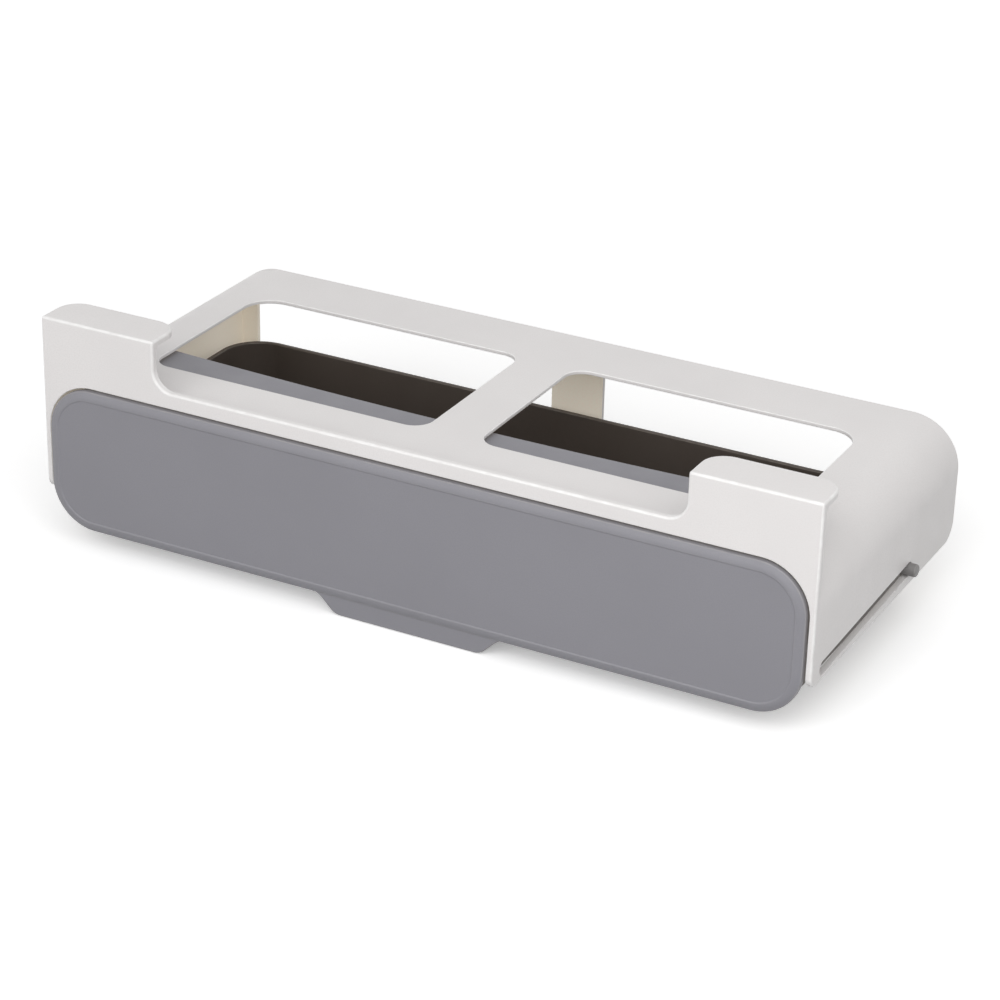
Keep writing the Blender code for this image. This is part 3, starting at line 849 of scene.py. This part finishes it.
def seenDirectly(tree):
    # 1 for what the camera, a reflection or glass sees, and 0 for light that bounces
    path = tree.nodes.new("ShaderNodeLightPath")
    straight = calculate(tree, "MAXIMUM", path.outputs["Is Camera Ray"], path.outputs["Is Glossy Ray"])
    return calculate(tree, "MAXIMUM", straight, path.outputs["Is Transmission Ray"])


def makeWorld(s):
    world = bpy.data.worlds.new("studioAir")
    world.use_nodes = True
    tree = world.node_tree
    background = tree.nodes["Background"]
    background.inputs["Color"].default_value = (1, 1, 1, 1)
    level = remap(tree, seenDirectly(tree), 0, 1, s["ambient"], 1)
    tree.links.new(level, background.inputs["Strength"])
    bpy.context.scene.world = world


def makeFloor(s):
    bm = bmesh.new()
    bmesh.ops.create_grid(bm, x_segments=1, y_segments=1, size=s["floorHalf"])
    floor = newPiece("studioFloor", bm)
    floor.location.z = cadLow.z - s["below"]
    material = bpy.data.materials.new("paleFloor")
    material.use_nodes = True
    tree = material.node_tree
    tree.nodes.remove(tree.nodes["Principled BSDF"])
    seen = seenDirectly(tree)
    matt = tree.nodes.new("ShaderNodeBsdfDiffuse")
    tree.links.new(remap(tree, seen, 0, 1, s["bounceAlbedo"], s["floorAlbedo"]), matt.inputs["Color"])
    where = tree.nodes.new("ShaderNodeTexCoord")
    away = tree.nodes.new("ShaderNodeVectorMath")
    away.operation = "LENGTH"
    tree.links.new(where.outputs["Object"], away.inputs[0])
    spread = remap(tree, away.outputs["Value"], s["liftNear"], s["liftFar"], s["floorLift"], 1)
    lift = tree.nodes.new("ShaderNodeEmission")
    tree.links.new(calculate(tree, "MULTIPLY", seen, spread), lift.inputs["Strength"])
    both = tree.nodes.new("ShaderNodeAddShader")
    tree.links.new(matt.outputs["BSDF"], both.inputs[0])
    tree.links.new(lift.outputs["Emission"], both.inputs[1])
    tree.links.new(both.outputs["Shader"], tree.nodes["Material Output"].inputs["Surface"])
    floor.data.materials.append(material)


def softBox(name, azimuth, elevation, distance, watts):
    # azimuth 0 stands in front, and 90 on the right; the disk is as wide as it is far
    a, e = math.radians(azimuth), math.radians(elevation)
    toward = Vector((math.sin(a) * math.cos(e), -math.cos(a) * math.cos(e), math.sin(e)))
    lamp = bpy.data.lights.new(name, "AREA")
    lamp.shape = "DISK"
    lamp.size = distance
    lamp.energy = watts
    holder = bpy.data.objects.new(name, lamp)
    holder.location = toward * distance
    holder.rotation_euler = toward.to_track_quat("Z", "Y").to_euler()
    bpy.context.scene.collection.objects.link(holder)


def makeCamera():
    yaw, pitch, roll = math.radians(27.243), math.radians(25.732), math.radians(1.513)
    ahead = Vector((-math.sin(yaw) * math.cos(pitch), math.cos(yaw) * math.cos(pitch), -math.sin(pitch)))
    side = Vector((math.cos(yaw), math.sin(yaw), 0))
    up = side.cross(ahead)
    turn = Matrix.Rotation(roll, 3, -ahead)
    axes = Matrix((turn @ side, turn @ up, -ahead)).transposed()
    lens = bpy.data.cameras.new("photoCamera")
    lens.lens = 110.89
    lens.sensor_width = 36
    lens.clip_start = 0.05
    camera = bpy.data.objects.new("photoCamera", lens)
    camera.matrix_world = Matrix.Translation((0.49257, -0.95381, 0.47427)) @ axes.to_4x4()
    bpy.context.scene.collection.objects.link(camera)
    bpy.context.scene.camera = camera


makeWorld(studio)
makeFloor(studio)
softBox("keyBox", *studio["key"])
softBox("fillBox", *studio["fill"])
makeCamera()
bpy.context.scene.view_settings.view_transform = "Standard"
print("studio made")
